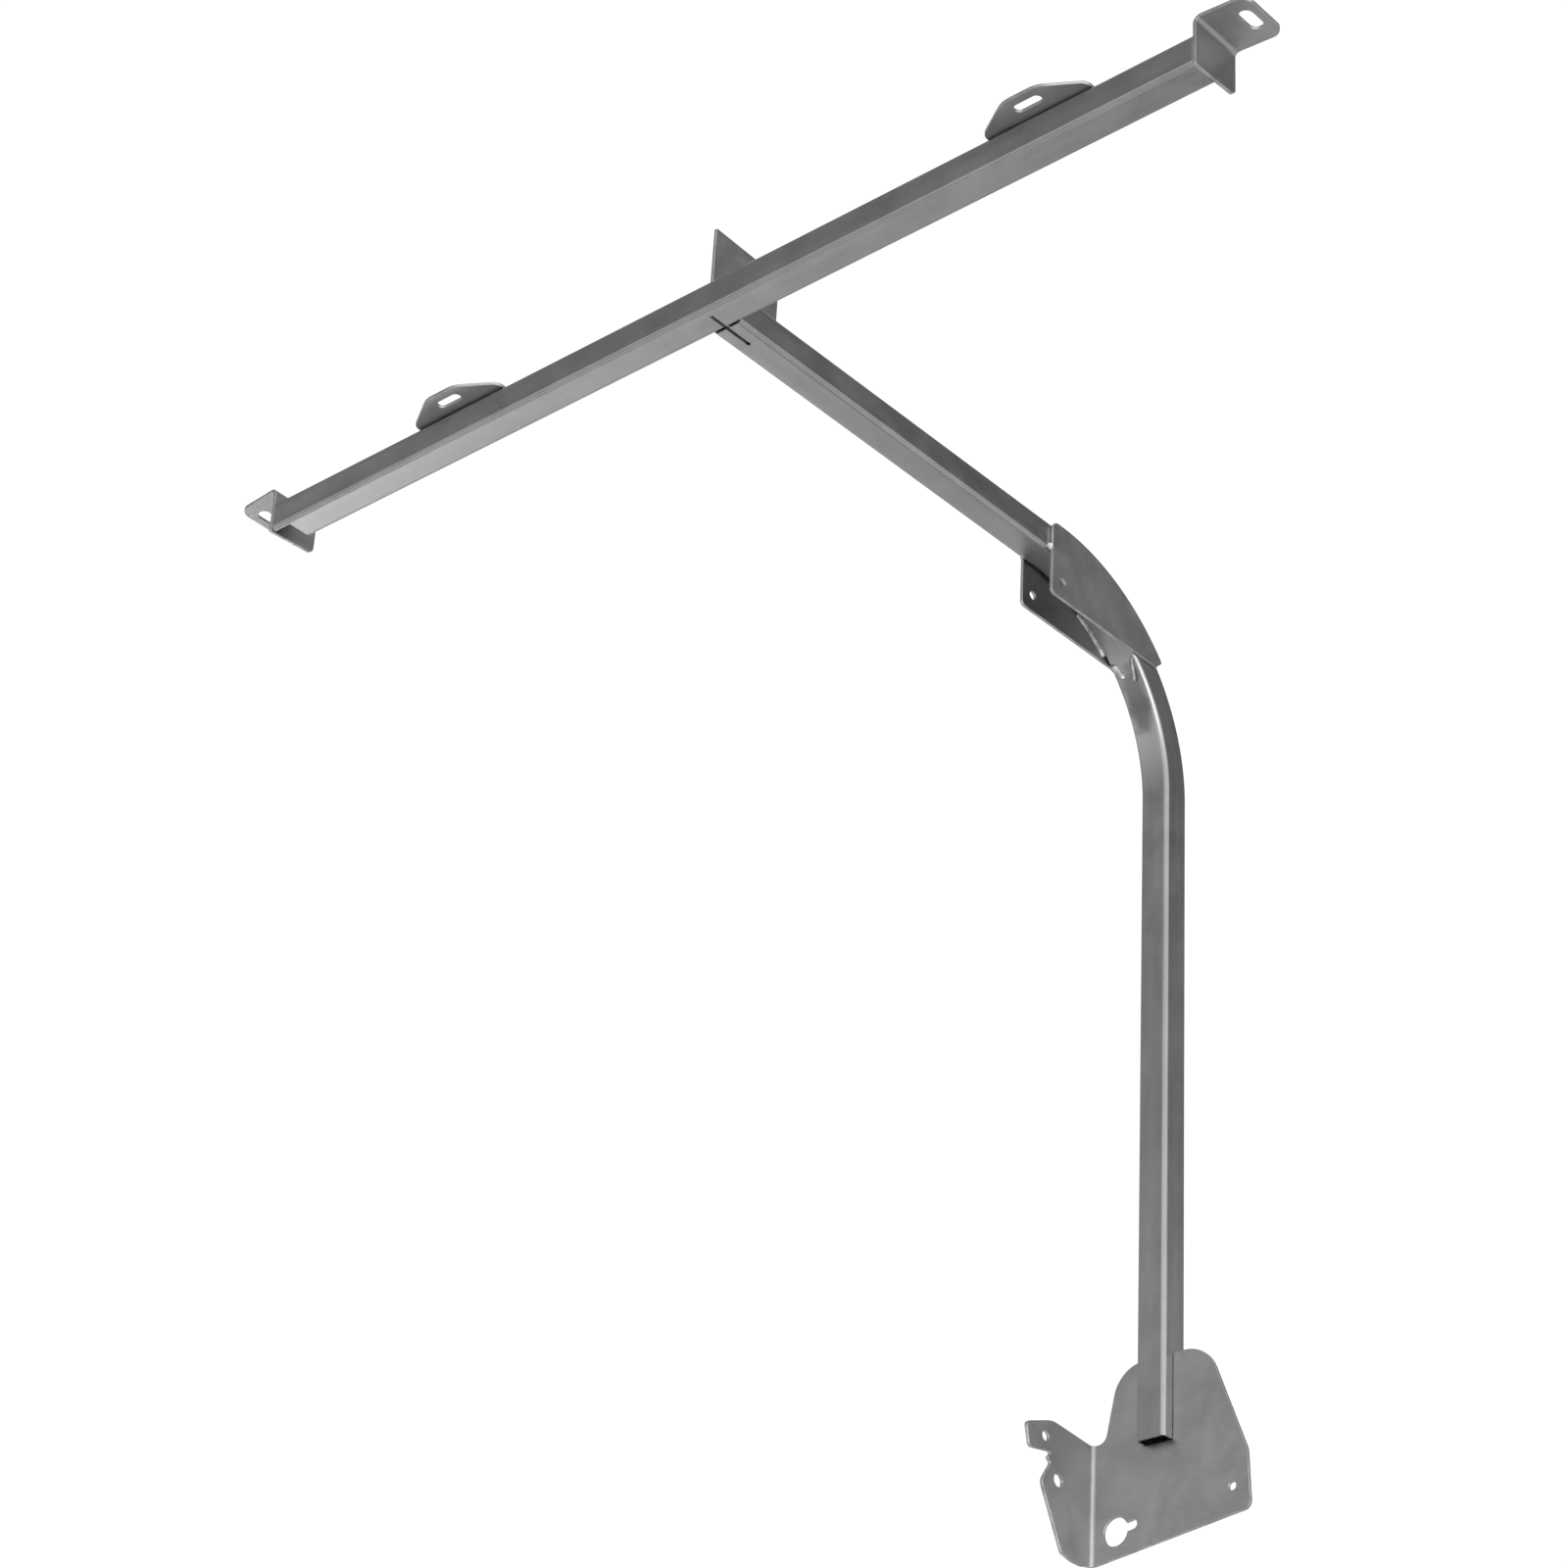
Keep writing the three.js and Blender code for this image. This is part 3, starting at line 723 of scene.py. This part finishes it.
def centre_fin():
    seat = HALF + GAP
    shape = outline([
        (FIN_FRONT, seat),
        (TONGUE_FRONT, seat),
        (TONGUE_FRONT, TONGUE_END, 1),
        (TONGUE_REAR, TONGUE_END, 1),
        (TONGUE_REAR, seat),
        (FIN_REAR, seat),
        (FIN_REAR, FIN_TOP_REAR, 2),
        (FIN_FRONT, FIN_TOP_FRONT, 1),
    ])

    def place(u, v, depth):
        return (depth - SHEET / 2, BAR_Y + u, BAR_Z + v)

    return sheet_piece("centre_fin_fine", [shape], place)


def elbow_plate(side):
    y, z, radius = ELBOW_ARC
    curve = []
    steps = 40
    for i in range(steps, -1, -1):
        across = math.asin((ELBOW_END_Y - y) / radius) * i / steps
        curve.append((y + radius * math.sin(across), z + radius * math.cos(across), 0))
    shape = outline([
        (ELBOW_FRONT, ELBOW_CHORD, 5),
        (ELBOW_HEEL_Y, ELBOW_CHORD),
        (ELBOW_END_Y + 2, ELBOW_CHORD + 8.2, 2.6),
        *curve,
        (ELBOW_FRONT, z + radius, 8),
    ])
    start = HALF + GAP if side > 0 else -HALF - GAP - SHEET

    def place(u, v, depth):
        return (start + depth, BAR_Y + u, BAR_Z + v)

    name = "elbow_plate_right_fine" if side > 0 else "elbow_plate_left_fine"
    return sheet_piece(name, [shape, round_hole(*ELBOW_HOLE)], place)


FOOT_FOLD = FLANGE_OUTER_X + FOLD_OUTSIDE
FOOT_FOLD_LENGTH = (FOLD_INSIDE + SHEET / 2) * math.pi / 2
FLANGE_START = FOOT_FOLD - FOOT_FOLD_LENGTH


def flange_s(y):
    """Where a flange point, given by its y, lies on the unfolded blank."""
    return FLANGE_START + y + FOLD_OUTSIDE


def floor_bracket():
    notch = HALF + GAP
    plate_side = [
        (93.3, -53.3, 7), (90.3, -2.1, 20), (49.7, FOOT_TOP, 35), (notch, FOOT_TOP, 0.6),
        (notch, POST_END - GAP, 0), (-notch, POST_END - GAP, 0), (-notch, FOOT_TOP, 0.6),
        (-41.2, FOOT_TOP, 31), (-55.3, FOOT_SHELF, 9), (FOOT_FOLD, FOOT_SHELF, 0.4),
    ]
    flange_side = [
        (-FOLD_OUTSIDE, FOOT_SHELF, 2), (-58.1, 39.6, 30), (-92.9, 27.5, 5), (-88, 6.4, 4),
        (-58.6, 11.2, 1.2), (-64, 5.2, 1.5), (-59.6, 1.3, 2), (-71.5, -17.5, 9), (-42.9, -71.6, 4),
        (-28.8, -74.6, 12), (-15.9, -74.6, 12), (-FOLD_OUTSIDE, -72.6, 3),
    ]
    corners = plate_side + [(flange_s(y), z, radius) for y, z, radius in flange_side]
    blank = outline(corners + [(FOOT_FOLD, -71.65, 3)])
    holes = [round_hole(*FOOT_HOLE), keyhole_loop(*KEYHOLE)]
    holes += [round_hole(flange_s(y), z, radius) for y, z, radius in FLANGE_HOLES]

    def place(s, z, depth):
        radius = FOLD_OUTSIDE - depth
        turn = max(0.0, min(1.0, (FOOT_FOLD - s) / FOOT_FOLD_LENGTH)) * math.pi / 2
        past = max(0.0, FLANGE_START - s)
        before = max(0.0, s - FOOT_FOLD)
        x = FOOT_FOLD - radius * math.sin(turn) + before
        y = -FOLD_OUTSIDE + radius * math.cos(turn) - past
        return (x, y, z)

    folds = [FLANGE_START + FOOT_FOLD_LENGTH * i / 10 for i in range(11)]
    return sheet_piece("floor_bracket_fine", [blank, *holes], place, folds)


# ------------------------------------------------------------------ weld beads


def bead(name, start, direction, u, v, length, leg, seed, curve=None):
    """A rippled fillet in the corner between the directions u and v, laid along direction."""
    start, direction = Vector(start), Vector(direction)
    u, v = Vector(u), Vector(v)
    pitch = 1.15
    around = 12
    steps = max(12, int(length / 0.16))
    bm = bmesh.new()
    rings = []
    for i in range(steps + 1):
        along = length * i / steps
        from_end = min(along, length - along) / leg
        taper = math.sqrt(max(0.02, 1 - max(0.0, 1 - from_end) ** 2))
        wander = 1 + 0.1 * noise.noise(Vector((along * 0.22, seed, 0.0)))
        ring = []
        for j in range(around + 1):
            share = j / around
            angle = math.radians(-14 + 118 * share)
            lag = 1.5 * (share - 0.5) ** 2
            phase = (along / pitch - lag) % 1.0
            ripple = abs(math.sin(math.pi * phase)) - 0.6
            reach = leg * (1 - 0.17 * math.sin(2 * angle)) * taper * wander * (1 + 0.075 * ripple)
            offset = u * (math.cos(angle) * reach) + v * (math.sin(angle) * reach)
            ring.append(bm.verts.new(bead_point(start, direction, along, offset, curve)))
        buried = (u + v) * -0.5
        ring.append(bm.verts.new(bead_point(start, direction, along, buried, curve)))
        rings.append(ring)
    count = around + 2
    for near, far in zip(rings, rings[1:]):
        for j in range(count):
            k = (j + 1) % count
            bm.faces.new((near[j], near[k], far[k], far[j]))
    bm.faces.new(rings[0])
    bm.faces.new(rings[-1])
    obj = write_mesh(f"{name}_fine", bm, lambda x, y, z: (x, BAR_Y + y, BAR_Z + z), [WELD_METAL])
    return obj


def bead_point(start, direction, along, offset, curve):
    if curve is None:
        return start + direction * along + offset
    return curve(along, offset)


def bend_bead(name, side, radial, start_degrees, end_degrees, leg, seed, from_x, to_x):
    """A bead along the bend's inner face, from one distance beside the centre plane to another."""
    start = math.radians(start_degrees)
    length = radial * math.radians(end_degrees - start_degrees)

    def curve(along, offset):
        angle = start + along / radial
        outward = Vector((0, math.sin(angle), math.cos(angle)))
        x = side * (from_x + (to_x - from_x) * along / length)
        base = Vector((x, BEND_Y, BEND_Z)) + outward * radial
        return base + Vector((offset.x, 0, 0)) + outward * offset.z

    return bead(name, (0, 0, 0), (0, 0, 0), (-side, 0, 0), (0, 0, -1), length, leg, seed, curve)


def straight_beads():
    """Name, start, direction, the two faces' directions, length and leg; measured from the crossbar axis."""
    fin = SHEET / 2
    right = BAR_RIGHT + GAP
    left = -BAR_LEFT - GAP
    rows = [
        ("weld_fin_bar_right", (fin, -8, HALF), (0, 1, 0), (1, 0, 0), (0, 0, 1), 17.5, 3.2),
        ("weld_fin_bar_left", (-fin, -8, HALF), (0, 1, 0), (-1, 0, 0), (0, 0, 1), 17.5, 3.2),
        ("weld_fin_arm_right", (fin, 24, HALF), (0, 1, 0), (1, 0, 0), (0, 0, 1), 44, 3.2),
        ("weld_fin_arm_left", (-fin, 24, HALF), (0, 1, 0), (-1, 0, 0), (0, 0, 1), 44, 3.2),
        ("weld_arm_right", (HALF, HALF, -9), (0, 0, 1), (1, 0, 0), (0, 1, 0), 18, 2.6),
        ("weld_arm_left", (-HALF, HALF, -9), (0, 0, 1), (-1, 0, 0), (0, 1, 0), 18, 2.6),
        ("weld_right_end_top", (right, -9, HALF), (0, 1, 0), (-1, 0, 0), (0, 0, 1), 18, 3.2),
        ("weld_right_end_rear", (right, HALF, -9), (0, 0, 1), (-1, 0, 0), (0, 1, 0), 18, 3.2),
        ("weld_left_end_top", (left, -9, HALF), (0, 1, 0), (1, 0, 0), (0, 0, 1), 18, 3.2),
        ("weld_left_ear", (EAR_X["left"] - 40, EAR_BACK, HALF), (1, 0, 0), (0, 1, 0), (0, 0, 1), 80, 2.9),
        ("weld_right_ear", (EAR_X["right"] - 40, EAR_BACK, HALF), (1, 0, 0), (0, 1, 0), (0, 0, 1), 80, 2.9),
        ("weld_elbow_front_right", (HALF, ELBOW_FRONT, -15), (0, 0, 1), (1, 0, 0), (0, -1, 0), 8, 3.3),
        ("weld_elbow_front_left", (-HALF, ELBOW_FRONT, -15), (0, 0, 1), (-1, 0, 0), (0, -1, 0), 8, 3.3),
    ]
    for seed, (name, start, direction, u, v, length, leg) in enumerate(rows):
        install(bead(name, start, direction, u, v, length, leg, seed * 3.7), name)


def elbow_beads():
    for hand, side in (("right", 1), ("left", -1)):
        name = f"weld_elbow_seam_{hand}"
        beside = HALF + GAP
        install(bend_bead(name, side, BEND_INSIDE, 24, 41, 3.0, 50 + side, beside, beside), name)
        name = f"weld_elbow_heel_{hand}"
        end = 52 if side > 0 else 50
        install(bend_bead(name, side, BEND_INSIDE, 44, end, 4.4, 60 + side, 12.0, 6.0), name)


def foot_beads():
    """Measured from the crossbar axis like the others, so the post's lower end is at -DROP."""
    for hand, side in (("right", 1), ("left", -1)):
        start = (side * HALF, REACH, 6 - DROP)
        obj = bead(f"weld_post_{hand}", start, (0, 0, 1), (side, 0, 0), (0, 1, 0), 68, 3.0, 70 + side)
        install(obj, f"weld_post_{hand}")


# ------------------------------------------------------------------ stage, light and camera


def floor():
    bm = bmesh.new()
    bmesh.ops.create_grid(bm, x_segments=8, y_segments=8, size=5.0)
    mesh = bpy.data.meshes.new("floor")
    bm.to_mesh(mesh)
    bm.free()
    g = Graph("pale_floor")
    place = g.coordinates("Object", (1.0, 1.0, 1.0))
    tone = g.mix(g.noise(place, 1.3, detail=3), grey(0.80), grey(0.84))
    g.link(tone, g.shader.inputs["Base Color"])
    g.shader.inputs["Roughness"].default_value = 0.7
    mesh.materials.append(g.material)
    obj = bpy.data.objects.new("floor", mesh)
    obj.location = (0, 0, FLOOR_Z)
    bpy.context.scene.collection.objects.link(obj)


FLOOR_Z = -1.58
SKY_DARK = 0.27
SKY_SIDE = 0.15
SKY_LOW = 0.88
SKY_UNDER = 0.3
SKY_KEY = 1.15
SKY_BRIGHT = 1.08


class Sky(NodeTree):
    """The world's nodes, all driven by the direction a ray leaves in."""

    def __init__(self, tree):
        super().__init__(tree)
        self.direction = self.add("ShaderNodeTexCoord").outputs["Generated"]

    def toward(self, direction):
        node = self.add("ShaderNodeVectorMath", operation="DOT_PRODUCT")
        node.inputs[1].default_value = Vector(direction).normalized()
        self.link(self.direction, node.inputs[0])
        return node.outputs["Value"]


def world():
    """White behind the object as the camera sees it, a broad light on the camera's side, grey elsewhere."""
    world_data = bpy.data.worlds.new("studio")
    bpy.context.scene.world = world_data
    world_data.use_nodes = True
    background = world_data.node_tree.nodes["Background"]
    sky = Sky(world_data.node_tree)
    shade = sky.remap(sky.toward((0.68, 0.73, 0.0)), 0.1, 0.7, SKY_DARK, SKY_SIDE)
    rise = sky.toward((0, 0, 1))
    lower = sky.remap(rise, -0.3, -0.02, SKY_UNDER, SKY_LOW)
    height = sky.remap(rise, 0.0, 0.56, lower, shade)
    keyed = sky.remap(sky.toward((0.734, -0.679, 0.0)), 0.28, 0.5, height, SKY_KEY, True)
    behind = sky.remap(sky.toward((-0.584, 0.626, 0.517)), 0.90, 0.962, keyed, SKY_BRIGHT, True)
    sky.link(behind, background.inputs["Strength"])
    background.inputs["Color"].default_value = (1, 1, 1, 1)


def area_light(name, location, target, size, energy):
    data = bpy.data.lights.new(name, "AREA")
    data.shape = "RECTANGLE"
    data.size, data.size_y = size
    data.energy = energy
    obj = bpy.data.objects.new(name, data)
    obj.location = location
    aim = Vector(target) - Vector(location)
    obj.rotation_euler = aim.to_track_quat("-Z", "Y").to_euler()
    obj.visible_camera = False
    bpy.context.scene.collection.objects.link(obj)


def lights():
    middle = (0.0, -0.3, 0.5)
    area_light("key", (3.7, -2.0, -0.2), (0.0, 0.0, 0.4), (2.8, 2.4), 60)
    area_light("floor_left", (-3.75, 1.2, FLOOR_Z + 0.8), (-3.75, 1.2, FLOOR_Z), (1.0, 1.2), 34)
    area_light("floor_front", (-2.9, -2.7, FLOOR_Z + 0.8), (-2.9, -2.7, FLOOR_Z), (1.4, 1.4), 12)
    area_light("floor_right", (2.2, 2.4, FLOOR_Z + 0.8), (2.2, 2.4, FLOOR_Z), (1.4, 1.4), 10)
    area_light("top", (-1.0, 0.6, 3.6), middle, (3.0, 3.0), 10)


CAMERA_AT = (1.9076, -2.5525, -1.2738)
CAMERA_AZIMUTH = math.radians(42.988)
CAMERA_RISE = math.radians(31.112)
CAMERA_ROLL = math.radians(3.534)
CAMERA_LENS = 93.66


def camera():
    data = bpy.data.cameras.new("camera")
    data.sensor_width = 36.0
    data.lens = CAMERA_LENS
    data.clip_start = 0.01
    data.clip_end = 100.0
    level = math.cos(CAMERA_RISE)
    forward = Vector((
        -math.sin(CAMERA_AZIMUTH) * level,
        math.cos(CAMERA_AZIMUTH) * level,
        math.sin(CAMERA_RISE),
    ))
    right = forward.cross(Vector((0, 0, 1))).normalized()
    up = right.cross(forward)
    turned_right = right * math.cos(CAMERA_ROLL) + up * math.sin(CAMERA_ROLL)
    turned_up = turned_right.cross(forward)
    basis = Matrix((turned_right, turned_up, -forward)).transposed()
    obj = bpy.data.objects.new("camera", data)
    obj.matrix_world = Matrix.Translation(CAMERA_AT) @ basis.to_4x4()
    bpy.context.scene.collection.objects.link(obj)
    bpy.context.scene.camera = obj


# ------------------------------------------------------------------ build


def build_object():
    install(crossbar(), "crossbar_tube")
    install(arm_and_post(), "arm_post_tube")
    install(end_bracket(1), "right_end_bracket")
    install(end_bracket(-1), "left_end_bracket")
    for hand in ("left", "right"):
        install(ear(hand), f"{hand}_ear")
    install(centre_fin(), "centre_fin")
    install(elbow_plate(1), "elbow_plate_right")
    install(elbow_plate(-1), "elbow_plate_left")
    install(floor_bracket(), "floor_bracket")
    straight_beads()
    elbow_beads()
    foot_beads()


build_object()
floor()
world()
lights()
camera()
bpy.context.scene.view_settings.view_transform = "Standard"
